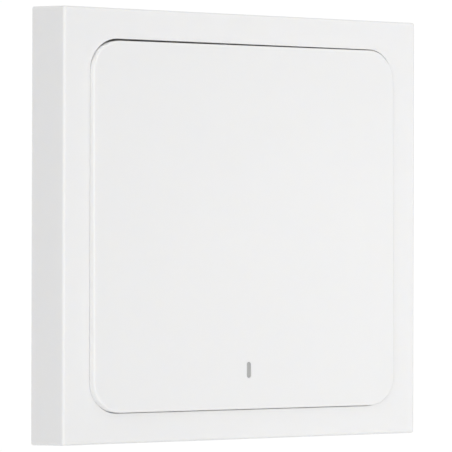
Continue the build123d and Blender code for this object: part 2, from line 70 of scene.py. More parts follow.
# %% [markdown]
# The object is a flat white light switch with one big rocker. The photograph looks at it from
# its left and almost level, through a long lens. A camera could be given as one matrix, but a
# turn round the object, a tiny tilt and roll and a distance are easier to read, and each can be
# set alone: "back" points from the aim to the camera. A long lens keeps the sides of a small
# object nearly parallel, so the lens matters as much as the place.

# %% Place the camera
TURN = math.radians(-33.952)
TILT = math.radians(-0.356)
ROLL = math.radians(0.14)
AIM = Vector((0.0029282, -0.0002, 0.0001950))
DISTANCE = 0.667555
LENS_LENGTH = 261.03

back = Vector((
    math.sin(TURN) * math.cos(TILT),
    -math.cos(TURN) * math.cos(TILT),
    math.sin(TILT),
))
lens = bpy.data.cameras.new("photo_lens")
lens.sensor_width = 36.0
lens.lens = LENS_LENGTH
lens.clip_start = 0.05
lens.clip_end = 50.0
camera = bpy.data.objects.new("photo_camera", lens)
bpy.context.scene.collection.objects.link(camera)
right = (-back).cross(Vector((0, 0, 1))).normalized()
up = right.cross(-back).normalized()
right, up = (
    right * math.cos(ROLL) + up * math.sin(ROLL),
    up * math.cos(ROLL) - right * math.sin(ROLL),
)
turned = Matrix((right, up, back)).transposed().to_4x4()
camera.matrix_world = Matrix.Translation(AIM + back * DISTANCE) @ turned
bpy.context.scene.camera = camera
print("camera at", [round(1000 * side, 1) for side in camera.location])

# %% [markdown]
# The photograph is a product shot on pure white: the background clips to white while the
# plastic stays a light grey. One world does both. The Light Path node tells camera rays from
# the rest, so the eye sees white and the plastic sees a softer grey dome. That dome glows less
# behind the switch than before it, which keeps the left wall darker than the face. The Standard
# view leaves these greys as they are, where a filmic one would dull the white. The world and
# every material below are made of shader nodes, so a small helper adds one and sets its sockets.

# %% Make the white surround
SEEN_WHITE = 1.02
FRONT_GLOW = 0.80
REAR_GLOW = 0.51
GLOW_CHANGE = 0.35  # how far to the front and to the rear the glow still changes


def add(nodes, kind, **values):
    """Adds a shader node and sets its sockets, whose names have _ for each space."""
    node = nodes.new("ShaderNode" + kind)
    for name, value in values.items():
        node.inputs[name.replace("_", " ")].default_value = value
    return node


scene = bpy.context.scene
scene.view_settings.view_transform = "Standard"
world = bpy.data.worlds.new("white_tent")
scene.world = world
world.use_nodes = True
tent = world.node_tree.nodes
join = world.node_tree.links.new
tent.clear()
seen = add(tent, "Background", Color=(1.0, 1.0, 1.0, 1.0), Strength=SEEN_WHITE)
glow = add(tent, "Background", Color=(0.998, 0.998, 1.012, 1.0))
way = add(tent, "TexCoord")
parts = add(tent, "SeparateXYZ")
depth = add(tent, "MapRange", From_Min=-GLOW_CHANGE, From_Max=GLOW_CHANGE)
depth.inputs["To Min"].default_value = FRONT_GLOW
depth.inputs["To Max"].default_value = REAR_GLOW
join(way.outputs["Generated"], parts.inputs["Vector"])
join(parts.outputs["Y"], depth.inputs["Value"])
join(depth.outputs["Result"], glow.inputs["Strength"])
path = add(tent, "LightPath")
either = add(tent, "MixShader")
sky = add(tent, "OutputWorld")
join(path.outputs["Is Camera Ray"], either.inputs["Fac"])
join(glow.outputs["Background"], either.inputs[1])
join(seen.outputs["Background"], either.inputs[2])
join(either.outputs["Shader"], sky.inputs["Surface"])
print("the tent glows", FRONT_GLOW, "in front and", REAR_GLOW, "behind")

# %% [markdown]
# Besides the tent, four lamps work on the plastic. A tall strip stands square to the switch's
# left: it grazes the face, so it hardly lights it, but it fills the left wall. A window, further
# round to the front, draws the bright line along the rounded edges. And a gridded softbox beside
# the camera is aimed past the switch, so that its soft rim falls across the face: that gives the
# photograph's slow rise in brightness from left to right without a second shadow. The last one
# stands behind the switch and only lights its back, for the other views.


# %% Hang the lamps
def hang(name, kind, watts, where, target=(0, 0, 0)):
    """Hangs a lamp and turns it to a point."""
    lamp = bpy.data.lights.new(name, kind)
    lamp.energy = watts
    piece = bpy.data.objects.new(name, lamp)
    scene.collection.objects.link(piece)
    piece.location = where
    piece.rotation_mode = "QUATERNION"
    piece.rotation_quaternion = (Vector(where) - Vector(target)).to_track_quat("Z", "Y")
    return lamp


strip_lamp = hang("tall_strip", "AREA", watts=0.08, where=(-0.9, -0.07, 0.0))
strip_lamp.shape = "RECTANGLE"
strip_lamp.size = 0.22
strip_lamp.size_y = 0.9
window_lamp = hang("window_from_the_left", "AREA", watts=0.85, where=(-0.66, -0.76, 0.0))
window_lamp.size = 0.6
PAST_THE_SWITCH = (0.10, 0, -0.01)
grid_lamp = hang(
    "gridded_softbox", "SPOT", watts=14.0, where=(-0.53, -0.85, 0.0), target=PAST_THE_SWITCH
)
grid_lamp.spot_size = math.radians(20)
grid_lamp.spot_blend = 1.0
grid_lamp.shadow_soft_size = 0.12
back_lamp = hang("back_fill", "AREA", watts=1.8, where=(0.25, 1.0, 0.4))
back_lamp.size = 0.5
print("lamps", [lamp.name for lamp in bpy.data.lights])

# %% [markdown]
# Every shape below is first a bmesh, Blender's mesh in the making, and then an object. One
# helper does that step. Shading is smoothed only where faces meet gently, and a Weighted Normal
# modifier lets the broad faces decide, so a flat face stays flat right up to its rounded edge.


# %% Turn a bmesh into a piece
def new_piece(name, bm, material, smooth_deg=None):
    """Turns a bmesh into an object, and rounds its shading where faces meet gently."""
    mesh = bpy.data.meshes.new(name)
    bmesh.ops.recalc_face_normals(bm, faces=bm.faces)
    bm.to_mesh(mesh)
    bm.free()
    piece = bpy.data.objects.new(name, mesh)
    scene.collection.objects.link(piece)
    mesh.materials.append(material)
    if smooth_deg is not None:
        mesh.shade_smooth()
        mesh.set_sharp_from_angle(angle=math.radians(smooth_deg))
        weigh = piece.modifiers.new("keep_flats_flat", "WEIGHTED_NORMAL")
        weigh.keep_sharp = True
    print(name, len(mesh.polygons), "faces")
    return piece


# %% [markdown]
# The floor is only there for the other views: from the photograph's angle it lies below the
# picture's edge. It is painted paper, nearly white, with slow clouds of two near shades. Two
# helpers begin here that every finish uses: one makes a material with its shader, the other a
# ramp between a dark and a light shade.

# %% Lay the floor
FLOOR = -0.30
FLOOR_RADIUS = 1.6


def new_finish(name):
    """A material, its nodes, the call that joins them, and its shader."""
    finish = bpy.data.materials.new(name)
    finish.use_nodes = True
    nodes = finish.node_tree.nodes
    return finish, nodes, finish.node_tree.links.new, nodes["Principled BSDF"]


def two_shades(nodes, dark, light, start=0.0, stop=1.0):
    """A ramp from a dark shade at start to a light one at stop."""
    ramp = add(nodes, "ValToRGB")
    low, high = ramp.color_ramp.elements
    low.position = start
    high.position = stop
    low.color = (*dark, 1)
    high.color = (*light, 1)
    return ramp


def floor_paint():
    """Nearly white paper with slow, faint clouds."""
    finish, nodes, join, shader = new_finish("pale_floor")
    shader.inputs["Roughness"].default_value = 0.9
    cloud = add(nodes, "TexNoise", Scale=2.0)
    ramp = two_shades(nodes, (0.90, 0.90, 0.90), (0.93, 0.93, 0.93))
    join(cloud.outputs["Fac"], ramp.inputs["Fac"])
    join(ramp.outputs["Color"], shader.inputs["Base Color"])
    return finish


floor_bm = bmesh.new()
bmesh.ops.create_circle(floor_bm, cap_ends=True, segments=96, radius=FLOOR_RADIUS)
bmesh.ops.translate(floor_bm, verts=floor_bm.verts, vec=(0, 0, FLOOR))
floor = new_piece("floor", floor_bm, floor_paint())
floor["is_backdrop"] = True

# %% [markdown]
# Every white part is injection-moulded plastic. Its mould is spark-eroded, which leaves a fine
# even grain: too small to see as bumps, but it breaks the gloss. The grain is a noise in a Bump
# node, and a second, slow noise changes colour and roughness by a hair, as flow does in a real
# moulding. Light also bleeds a third of a millimetre into white plastic and out again, which
# softens its edges and its narrow gaps: that is the shader's subsurface part. The constants stay
# on the shader's own sockets.


# %% Mix the moulded plastic
def moulded(name, light, dark, roughness, grain=0.22, depth=0.006, bleed=0.0):
    """Matt moulded plastic: two near colours, a roughness, and a grain in millimetres."""
    finish, nodes, join, shader = new_finish(name)
    shader.inputs["IOR"].default_value = 1.5
    shader.inputs["Subsurface Weight"].default_value = bleed
    shader.inputs["Subsurface Radius"].default_value = (1.0, 0.97, 0.9)
    shader.inputs["Subsurface Scale"].default_value = 0.00032
    place = add(nodes, "TexCoord")
    flow = add(nodes, "TexNoise", Scale=45.0, Detail=3.0)
    join(place.outputs["Object"], flow.inputs["Vector"])
    tint = two_shades(nodes, dark, light, start=0.35, stop=0.65)
    join(flow.outputs["Fac"], tint.inputs["Fac"])
    join(tint.outputs["Color"], shader.inputs["Base Color"])
    rub = add(nodes, "MapRange", To_Min=roughness - 0.03, To_Max=roughness + 0.03)
    join(flow.outputs["Fac"], rub.inputs["Value"])
    join(rub.outputs["Result"], shader.inputs["Roughness"])
    spark = add(nodes, "TexNoise", Scale=1000.0 / grain, Detail=2.0)
    join(place.outputs["Object"], spark.inputs["Vector"])
    bump = add(nodes, "Bump", Distance=depth / 1000, Strength=1.0)
    join(spark.outputs["Fac"], bump.inputs["Height"])
    join(bump.outputs["Normal"], shader.inputs["Normal"])
    return finish


frame_white = moulded(
    "frame_white", (0.911, 0.911, 0.900), (0.907, 0.907, 0.896), roughness=0.58, bleed=1.0
)
rocker_white = moulded(
    "rocker_white", (0.897, 0.897, 0.886), (0.893, 0.893, 0.882), roughness=0.70, bleed=1.0
)
print("plastics", frame_white.name, rocker_white.name)

# %% [markdown]
# Frame and rocker are both a rounded square swept through a section: outside wall, rounded
# edge, face, opening, inside. A boolean and a bevel would do it, but a list of rings is cleaner:
# every ring has the same number of points, so neighbours are joined by plain four-sided faces,
# and the edge's roundness is just a few rings set by sine and cosine. From here on sizes are in
# millimetres, and "out" is the distance off the wall towards the room.

# %% Draw rounded-square rings
MM = 0.001
CORNER_STEPS = 14
NO_EXTRA = (0.0, 0.0, 0.0, 0.0)


def square_ring(half, corner, out, shift=(0.0, 0.0), extra=NO_EXTRA):
    """A rounded square; extra makes its four corners rounder, from the top right leftwards."""
    points = []
    for quarter, more in enumerate(extra):
        radius = corner + more
        middle = math.radians(45 + 90 * quarter)
        across = math.copysign(half - radius, math.cos(middle))
        high = math.copysign(half - radius, math.sin(middle))
        for step in range(CORNER_STEPS + 1):
            angle = math.radians(90 * (quarter + step / CORNER_STEPS))
            x = across + radius * math.cos(angle) + shift[0]
            z = high + radius * math.sin(angle) + shift[1]
            points.append(Vector((x, -out, z)) * MM)
    return points


def loft(bm, rings, closed=False):
    """Joins each ring to the next with four-sided faces."""
    loops = [[bm.verts.new(point) for point in ring] for ring in rings]
    if closed:
        loops.append(loops[0])
    for near, far in zip(loops, loops[1:]):
        count = len(near)
        for i in range(count):
            j = (i + 1) % count
            bm.faces.new((near[i], near[j], far[j], far[i]))
    return loops


def quarter_round(radius, steps):
    """(inset, drop) pairs over a rounded edge, from its wall to its face."""
    angles = [math.radians(90 * step / steps) for step in range(steps + 1)]
    return [(radius * (1 - math.cos(a)), radius * (1 - math.sin(a))) for a in angles]


print("points in a ring", len(square_ring(half=43.0, corner=0.5, out=0.0)))

# %% [markdown]
# Ribs, hooks and stubs all have one flat outline that is the same along their length. So one
# helper makes them: it draws the outline twice, joins the two and bevels what is sharp. A rib
# may sink a little into the plate that carries it. The mesh then holds two closed shells, which
# renders just like one and spares a boolean.

# %% Make a solid from a flat outline
SHARP = math.radians(35)
ROUND_STEPS = 32


def prism(bm, outline, start, stop, along="across", soft=0.1):
    """Makes a flat outline solid: one of (up, out) points across, one of (across, up) out."""
    ends = []
    for reach in (start, stop):
        if along == "across":
            points = [Vector((reach, -out, up)) for up, out in outline]
        else:
            points = [Vector((across, -reach, up)) for across, up in outline]
        ends.append([bm.verts.new(point * MM) for point in points])
    near, far = ends
    made = [bm.faces.new(near), bm.faces.new(far[::-1])]
    for i in range(len(near)):
        j = (i + 1) % len(near)
        made.append(bm.faces.new((near[j], near[i], far[i], far[j])))
    bmesh.ops.recalc_face_normals(bm, faces=made)
    edges = {edge for face in made for edge in face.edges}
    sharp = [edge for edge in edges if edge.calc_face_angle(0.0) > SHARP]
    bmesh.ops.bevel(bm, geom=sharp, offset=soft * MM, segments=2, profile=0.5, affect="EDGES")


def box(low_a, high_a, low_b, high_b):
    """The outline of a box."""
    return [(low_a, low_b), (high_a, low_b), (high_a, high_b), (low_a, high_b)]


def disc(middle_a, middle_b, radius):
    """The outline of a round."""
    angles = [2 * math.pi * step / ROUND_STEPS for step in range(ROUND_STEPS)]
    return [(middle_a + radius * math.cos(a), middle_b + radius * math.sin(a)) for a in angles]


print("points in a round outline", len(disc(0.0, 0.0, radius=1.0)))

# %% [markdown]
# The frame is a drafted shell: 86 mm at the wall and a little less at its face, so that it
# leaves its mould. Its front edge has a small rounding that catches a bright line in the
# photograph, and the opening's edge only a hint of one. A lip behind the opening hides the
# works beside the rocker. No moulding is quite true, and the photograph shows by how much: face
# and opening sit a hair to the right, the opening grows a hair towards its right end, and its
# four corners aren't equally round. Each of these errors is a value of its own, so that the
# regular shape stays easy to read.

# %% Loft the frame
FRAME_START = 0.2
FRAME_OUT = 11.25
FRAME_HALF = 43.0
FACE_HALF = 42.55
FACE_SHIFT = 0.18
FRAME_CORNER = 0.5
LEAST_CORNER = 0.04
REAR_EDGE = 0.12
FRAME_EDGE = 0.6
OPENING_HALF = 36.6
OPENING_SHIFT = (0.19, -0.03)
OPENING_TALL = 0.0004  # share by which the opening is taller than wide
OPENING_CORNER = 6.2
OPENING_CORNERS = (-0.4, 0.25, 0.15, 0.0)
OPENING_EDGE = 0.045
LIP_END = 8.0
LIP_WALL = 1.2
CEILING = 9.65
INSIDE_HALF = 41.2
INSIDE_CORNER = 2.0
INSIDE_EDGE = 0.15
FLARE = 0.0005  # share by which opening and rocker grow from their left end to the middle
FLARE_HALF = 36.0


def drafted(out):
    """Half of the frame's outside at this height off the wall."""
    share = (out - FRAME_START) / (FRAME_OUT - FRAME_START)
    return FRAME_HALF + (FACE_HALF - FRAME_HALF) * share


def flared(point, tall=0.0):
    """The opening and its rocker are a hair taller at their right end."""
    grow = tall + FLARE * (1 + point.x / (FLARE_HALF * MM))
    return Vector((point.x, point.y, point.z * (1 + grow)))


def frame_rings():
    """The frame's section: rear edge, outside, front edge, opening, lip and inside."""
    rings = []
    for inset, drop in reversed(quarter_round(REAR_EDGE, steps=3)):
        rings.append(square_ring(FRAME_HALF - inset, FRAME_CORNER - inset, FRAME_START + drop))
    for inset, drop in quarter_round(FRAME_EDGE, steps=7):
        out = FRAME_OUT - drop
        corner = max(FRAME_CORNER - inset, LEAST_CORNER)
        rings.append(square_ring(drafted(out) - inset, corner, out, (FACE_SHIFT, 0.0)))
    lip = [(inset, FRAME_OUT - drop) for inset, drop in quarter_round(OPENING_EDGE, steps=3)][::-1]
    lip += [(0.0, LIP_END + INSIDE_EDGE), (INSIDE_EDGE, LIP_END)]
    lip += [(LIP_WALL - INSIDE_EDGE, LIP_END), (LIP_WALL, LIP_END + INSIDE_EDGE)]
    lip.append((LIP_WALL, CEILING))
    for grow, out in lip:
        corner = OPENING_CORNER + grow
        ring = square_ring(OPENING_HALF + grow, corner, out, OPENING_SHIFT, OPENING_CORNERS)
        rings.append([flared(point, OPENING_TALL) for point in ring])
    rings.append(square_ring(INSIDE_HALF, INSIDE_CORNER, CEILING))
    rings.append(square_ring(INSIDE_HALF, INSIDE_CORNER, FRAME_START + INSIDE_EDGE))
    rings.append(square_ring(INSIDE_HALF + INSIDE_EDGE, INSIDE_CORNER, FRAME_START))
    return rings


frame_bm = bmesh.new()
loft(frame_bm, frame_rings(), closed=True)
print("frame rings", len(frame_rings()))

# %% [markdown]
# The base snaps into the frame: its beads sit in eight shallow pockets, two in each inside
# wall. A pocket needs edges round it first. Bisecting only the inside wall's faces draws those
# lines, and leaves the outside of the frame as it was.

# %% Draw the lines of the snap pockets
SNAP_X = 16.0
SNAP_HALF = 4.2
SNAP_OUT = (7.0, 8.3)
ON_THE_WALL = 0.001  # how near a face must be to the inside wall to count as part of it
UPRIGHT = 0.01  # how little its normal may point into the room


def inside_wall(bm):
    """The four flat faces inside the frame, and what they have been cut into."""
    found = []
    for face in bm.faces:
        middle = face.calc_center_median()
        far = max(abs(middle.x), abs(middle.z)) / MM
        if abs(far - INSIDE_HALF) < ON_THE_WALL and abs(face.normal.y) < UPRIGHT:
            found.append(face)
    return found


def cut_inside_wall(bm, point, normal):
    """Cuts the inside wall's faces, and no others, with a plane."""
    faces = inside_wall(bm)
    edges = {edge for face in faces for edge in face.edges}
    verts = {vert for face in faces for vert in face.verts}
    geom = list(verts) + list(edges) + faces
    bmesh.ops.bisect_plane(bm, geom=geom, dist=1e-8, plane_co=point, plane_no=normal)


frame_bm.normal_update()
for side in (-1, 1):
    for edge_at in (SNAP_X - SNAP_HALF, SNAP_X + SNAP_HALF):
        for normal in (Vector((1, 0, 0)), Vector((0, 0, 1))):
            cut_inside_wall(frame_bm, normal * side * edge_at * MM, normal)
for out in SNAP_OUT:
    cut_inside_wall(frame_bm, Vector((0, -out, 0)) * MM, Vector((0, 1, 0)))
print("faces inside the frame", len(inside_wall(frame_bm)))

# %% [markdown]
# Now the eight marked faces can be pushed out into the wall. Extruding each one makes the
# pocket's sides, and moving the new face makes its depth.

# %% Press the snap pockets
SNAP_DEPTH = 0.6


def is_pocket(face):
    """Is this one of the eight faces between the lines?"""
    middle = face.calc_center_median() / MM
    along = min(abs(middle.x), abs(middle.z))
    return abs(along - SNAP_X) < SNAP_HALF and SNAP_OUT[0] < -middle.y < SNAP_OUT[1]


def outward(face):
    """The way from the frame's middle straight out through a face."""
    middle = face.calc_center_median()
    if abs(middle.x) > abs(middle.z):
        return Vector((middle.x, 0, 0)).normalized()
    return Vector((0, 0, middle.z)).normalized()


pockets = [face for face in inside_wall(frame_bm) if is_pocket(face)]
for face in pockets:
    way_out = outward(face)
    pushed = bmesh.ops.extrude_discrete_faces(frame_bm, faces=[face])["faces"]
    verts = list({vert for new in pushed for vert in new.verts})
    bmesh.ops.translate(frame_bm, verts=verts, vec=way_out * SNAP_DEPTH * MM)
print("snap pockets", len(pockets))

# %% [markdown]
# Three short gussets a side carry the lip. They are made once, for one side, in a mesh of their
# own, and a quarter turn copies them to the next. Then the frame is whole: it rides on the body
# that lifts off the wall plate, and stands for the plain CAD frame.

# %% Add the gussets and finish the frame
GUSSET_X = (-26.0, 0.0, 26.0)
GUSSET_HALF = 0.5
GUSSET_START = 8.4
GUSSET_SUNK = 0.2
LIP_BITE = 0.1

gussets = bmesh.new()
for across in GUSSET_X:
    inner = OPENING_HALF + LIP_WALL - LIP_BITE
    outline = box(inner, INSIDE_HALF + GUSSET_SUNK, GUSSET_START, CEILING + GUSSET_SUNK)
    prism(gussets, outline, across - GUSSET_HALF, across + GUSSET_HALF)
gusset_row = bpy.data.meshes.new("gusset_row")
gussets.to_mesh(gusset_row)
gussets.free()
for quarter in range(4):
    gusset_row.transform(Matrix.Rotation(math.radians(90), 4, "Y"))
    frame_bm.from_mesh(gusset_row)
shell = new_piece("frame_shell", frame_bm, frame_white, smooth_deg=35)
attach(shell, "switch_unit")
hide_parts("front_frame")

# %% [markdown]
# The rocker is a plate with a rounded edge and a skirt. Its face is flat but for the small hole
# of the light near its foot. Rings can't join a square to a pill-shaped hole neatly, so the
# loops are left open there, and triangle_fill closes the flat area between an outer and an
# inner loop.

# %% Loft the rocker's plate
ROCKER_OUT = 12.56
ROCKER_HALF = 36.34
ROCKER_CORNER = 6.0
ROCKER_CORNERS = (0.15, 0.25, 0.1, 0.0)
ROCKER_EDGE = 0.4
PLATE_INSIDE = 11.06
SKIRT_END = 8.46
SKIRT_WALL = 1.2
SKIRT_EDGE = 0.1
LIGHT_UP = -28.52
LIGHT_WIDE = 1.0
LIGHT_HIGH = 3.2
HOLE_EDGE = 0.04
PILL_STEPS = 13


def pill_ring(out, grow=0.0):
    """The light's upright outline: two half rounds joined by straight sides."""
    radius = LIGHT_WIDE / 2 + grow
    reach = (LIGHT_HIGH - LIGHT_WIDE) / 2
    points = []
    for half, middle in ((0, LIGHT_UP + reach), (1, LIGHT_UP - reach)):
        for step in range(PILL_STEPS):
            angle = math.radians(180 * (half + step / (PILL_STEPS - 1)))
            x = radius * math.cos(angle)
            points.append(Vector((x, -out, middle + radius * math.sin(angle))) * MM)
    return points


def rocker_rings():
    """The rocker's section, from the rim of its face to the inside of its plate."""
    rim = quarter_round(ROCKER_EDGE, steps=8)
    section = [(inset, ROCKER_OUT - drop) for inset, drop in rim][::-1]
    section += [(0.0, SKIRT_END + SKIRT_EDGE), (SKIRT_EDGE, SKIRT_END)]
    section += [(SKIRT_WALL, SKIRT_END), (SKIRT_WALL, PLATE_INSIDE)]
    rings = []
    for inset, out in section:
        corner = ROCKER_CORNER - inset
        rings.append(square_ring(ROCKER_HALF - inset, corner, out, extra=ROCKER_CORNERS))
    return rings


def fill_between(bm, *loops):
    """Closes the flat area between an outer and an inner loop."""
    edges = []
    for loop in loops:
        edges += [bm.edges.get((a, b)) for a, b in zip(loop, loop[1:] + loop[:1])]
    bmesh.ops.triangle_fill(bm, use_beauty=True, edges=edges)


rocker_bm = bmesh.new()
skin = loft(rocker_bm, rocker_rings())
hole_rings = [pill_ring(ROCKER_OUT, HOLE_EDGE), pill_ring(ROCKER_OUT - HOLE_EDGE)]
hole_rings.append(pill_ring(PLATE_INSIDE))
hole = loft(rocker_bm, hole_rings)
fill_between(rocker_bm, skin[0], hole[0])
fill_between(rocker_bm, skin[-1], hole[-1])
print("rocker plate", len(rocker_bm.faces), "faces")

# %% [markdown]
# Behind the plate is what makes it a switch. First comes a grid of low ribs that keeps it flat.
# Each rib starts a little inside the plate, so no gap can open between the two.

# %% Rib the rocker
RIB_X = (-24.5, -4.5, 4.5, 24.5)
RIB_UP = (24.0, -8.0, -22.0)
RIB_HALF = 0.4
RIB_OUT = PLATE_INSIDE - 0.9
RIB_END = ROCKER_HALF - 0.6
SUNK = PLATE_INSIDE + 0.3

for across in RIB_X:
    upright = box(-RIB_END, RIB_END, RIB_OUT, SUNK)
    prism(rocker_bm, upright, across - RIB_HALF, across + RIB_HALF)
for up in RIB_UP:
    prism(rocker_bm, box(up - RIB_HALF, up + RIB_HALF, RIB_OUT, SUNK), -RIB_END, RIB_END)
print("ribs", len(RIB_X) + len(RIB_UP))

# %% [markdown]
# Two ears near the top end in round stubs, which are the hinge, and two hooks at the foot stop
# the rocker where the springs hold it out. All are outlines seen from the side. An ear's outline
# is a half round below two straight sides, so its lower points follow from an angle.

# %% Add the rocker's ears and hooks
HINGE_UP = 31.5
HINGE_OUT = 8.4
EAR_X = 26.1
EAR_HALF = 0.9
EAR_R = 2.2
EAR_STEPS = 16
STUB_R = 1.2
STUB_LONG = 4.5
HOOK_X = 20.0
HOOK_HALF = 2.5
HOOK_FOOT = -35.15
HOOK_STEM = 1.2
HOOK_REACH = 2.1
HOOK_NOSE = 0.3
BARB_START = 5.843
BARB_THICK = 0.9

ear = [(HINGE_UP - EAR_R, SUNK), (HINGE_UP - EAR_R, HINGE_OUT)]
for step in range(1, EAR_STEPS):
    turn = math.radians(180 / EAR_STEPS * step)
    ear.append((HINGE_UP - EAR_R * math.cos(turn), HINGE_OUT - EAR_R * math.sin(turn)))
ear += [(HINGE_UP + EAR_R, HINGE_OUT), (HINGE_UP + EAR_R, SUNK)]
stub = disc(HINGE_UP, HINGE_OUT, STUB_R)
hook = [
    (HOOK_FOOT, SUNK),
    (HOOK_FOOT, BARB_START - BARB_THICK),
    (HOOK_FOOT + HOOK_STEM, BARB_START - BARB_THICK),
    (HOOK_FOOT + HOOK_REACH, BARB_START - HOOK_NOSE),
    (HOOK_FOOT + HOOK_REACH, BARB_START),
    (HOOK_FOOT + HOOK_STEM, BARB_START),
    (HOOK_FOOT + HOOK_STEM, SUNK),
]
for side in (-1, 1):
    prism(rocker_bm, ear, side * (EAR_X - EAR_HALF), side * (EAR_X + EAR_HALF))
    prism(rocker_bm, stub, side * EAR_X, side * (EAR_X + STUB_LONG), soft=0.2)
    prism(rocker_bm, hook, side * (HOOK_X - HOOK_HALF), side * (HOOK_X + HOOK_HALF), soft=0.08)
print("ear outline", len(ear), "points, hook outline", len(hook))

# %% [markdown]
# A blunt post presses the small button on the board. A cross of two thin walls stiffens it, as
# thick plastic would sink in as it cools.

# %% Add the pusher
PUSHER_UP = -14.0
PUSHER_TIP = 10.06
PUSHER_R = 1.6
CROSS_HALF = 4.5
CROSS_BACK = 0.35

prism(rocker_bm, disc(0, PUSHER_UP, PUSHER_R), PUSHER_TIP, SUNK, along="out", soft=0.25)
for wide, high in ((CROSS_HALF, RIB_HALF), (RIB_HALF, CROSS_HALF)):
    cross = box(-wide, wide, PUSHER_UP - high, PUSHER_UP + high)
    prism(rocker_bm, cross, PUSHER_TIP + CROSS_BACK, SUNK, along="out")
print("rocker with its works", len(rocker_bm.faces), "faces")

# %% [markdown]
# The plate was drawn level. At rest the springs push its foot out by half a millimetre, so it
# turns about its hinge by the joint's upper limit. A moulded plate is never quite true either:
# in the photograph the dark line above it thins towards the right, so the top edge rises by a
# tenth of a millimetre, and the plate sits a hair low and to the left in its play.

# %% Lean the rocker out
WARP = 0.0035  # rise of the top edge towards the right, as a slope
WARPED_FROM = 35.0  # only the rim is warped, which lies this far or further from the middle

press = joints["rocker_press"]
hinge = Vector(press["pos_m"])
lean = Matrix.Rotation(-math.radians(press["range_deg"][1]), 4, "X")
LEANED = Matrix.Translation(hinge) @ lean @ Matrix.Translation(-hinge)
PLAY = Matrix.Translation(Vector((-0.04, 0.0, -0.14)) * MM)


def is_top_rim(point):
    """Is this point on the rim of the plate or its skirt, in the upper half?"""
    far = max(abs(point.x), point.z) > WARPED_FROM * MM
    return far and point.z > 0 and -point.y > HINGE_OUT * MM


for vert in rocker_bm.verts:
    if is_top_rim(vert.co):
        vert.co.z += WARP * vert.co.x * (vert.co.z / ROCKER_HALF / MM) ** 2
    vert.co = flared(vert.co)
bmesh.ops.transform(rocker_bm, matrix=PLAY @ LEANED, verts=rocker_bm.verts)
plate = new_piece("rocker_plate", rocker_bm, rocker_white, smooth_deg=35)
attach(plate, "rocker")
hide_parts("rocker")
print("rocker leans", round(press["range_deg"][1], 3), "degrees")

# %% [markdown]
# The small grey pill near the foot is the end of a light guide: a smoked, slightly glossy
# plastic rod that carries the lamp's light through the rocker. It sits a hair below the white
# face, and its rim is rounded, so it reads as its own piece and not as a painted mark. The same
# outline that cut the hole now draws the plug that fills it, and behind the plate a flange
# keeps it from falling out.


# %% Mix the smoked plastic
def smoked(name, light, dark, roughness):
    """Tinted clear plastic under a thin gloss."""
    finish = moulded(name, light, dark, roughness, grain=0.5, depth=0.0015)
    shader = finish.node_tree.nodes["Principled BSDF"]
    shader.inputs["Coat Weight"].default_value = 0.35
    shader.inputs["Coat Roughness"].default_value = 0.12
    return finish


guide_grey = smoked("guide_grey", (0.445, 0.445, 0.437), (0.42, 0.42, 0.413), roughness=0.3)
print("smoked plastic", guide_grey.name)

# %% [markdown]
# The plug's rings start inside its domed end and run down into the rocker. Each is the pill's
# outline, grown or shrunk a little. Two plain boxes behind the plate are the flange and the stem
# that reaches back towards the lamp on the board.

# %% Set the light guide into the rocker
GUIDE_OUT = ROCKER_OUT - 0.03
GUIDE_PLAY = 0.02
GUIDE_DOME = ((-0.3, 0.0), (-0.12, 0.004), (-0.05, 0.03), (-GUIDE_PLAY, 0.09))  # grow and drop
FLANGE_HALF = (1.5, 2.6)
FLANGE_THICK = 0.8
STEM_HALF = (0.6, 1.1)
STEM_START = 9.1
STEM_END = PLATE_INSIDE - 0.6
GUIDE_BITE = 0.2


def box_at_light(half):
    """The outline of a box round the light's middle."""
    wide, high = half
    return box(-wide, wide, LIGHT_UP - high, LIGHT_UP + high)


guide_bm = bmesh.new()
plug_rings = [pill_ring(GUIDE_OUT - drop, grow) for grow, drop in GUIDE_DOME]
plug_rings.append(pill_ring(PLATE_INSIDE - GUIDE_BITE, -GUIDE_PLAY))
plug = loft(guide_bm, plug_rings)
guide_bm.faces.new(plug[0])
guide_bm.faces.new(plug[-1])
flange_start = PLATE_INSIDE - FLANGE_THICK
prism(guide_bm, box_at_light(FLANGE_HALF), flange_start, PLATE_INSIDE, along="out")
prism(guide_bm, box_at_light(STEM_HALF), STEM_START, STEM_END, along="out")
bmesh.ops.transform(guide_bm, matrix=PLAY @ LEANED, verts=guide_bm.verts)
guide = new_piece("light_pill", guide_bm, guide_grey, smooth_deg=50)
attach(guide, "rocker")
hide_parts("light_guide")

# %% [markdown]
# Two pieces can't follow a joint, because they bend: the leaf springs that hold the rocker out
# and the snap disc under the small button. A leaf spring is a strip bent along a line. The line
# is drawn with corners, and cutting every corner off a few times turns them into even bends.

# %% Bend the leaf springs
KEPT, CUT = 0.8, 0.2  # how a corner's cut divides the side beside it


def eased(line, rounds):
    """Rounds a line's corners by cutting them off, again and again."""
    for _ in range(rounds):
        cut = [line[0]]
        for (a, b), (c, d) in zip(line, line[1:]):
            cut.append((KEPT * a + CUT * c, KEPT * b + CUT * d))
            cut.append((CUT * a + KEPT * c, CUT * b + KEPT * d))
        line = cut + [line[-1]]
    return line


def ribbon(line, thick):
    """The outline of a strip of even thickness along a line."""
    near, far = [], []
    for i, (a, b) in enumerate(line):
        before, after = line[max(i - 1, 0)], line[min(i + 1, len(line) - 1)]
        run, rise = after[0] - before[0], after[1] - before[1]
        reach = thick / 2 / math.hypot(run, rise)
        near.append((a - rise * reach, b + run * reach))
        far.append((a + rise * reach, b - run * reach))
    return near + far[::-1]


SPRING_X = 31.5
SPRING_HALF = 2.0
SPRING_THICK = 0.22
SPRING_LINE = [(-9.3, 6.11), (-15.0, 6.11), (-28.0, 11.22), (-30.2, 10.4)]

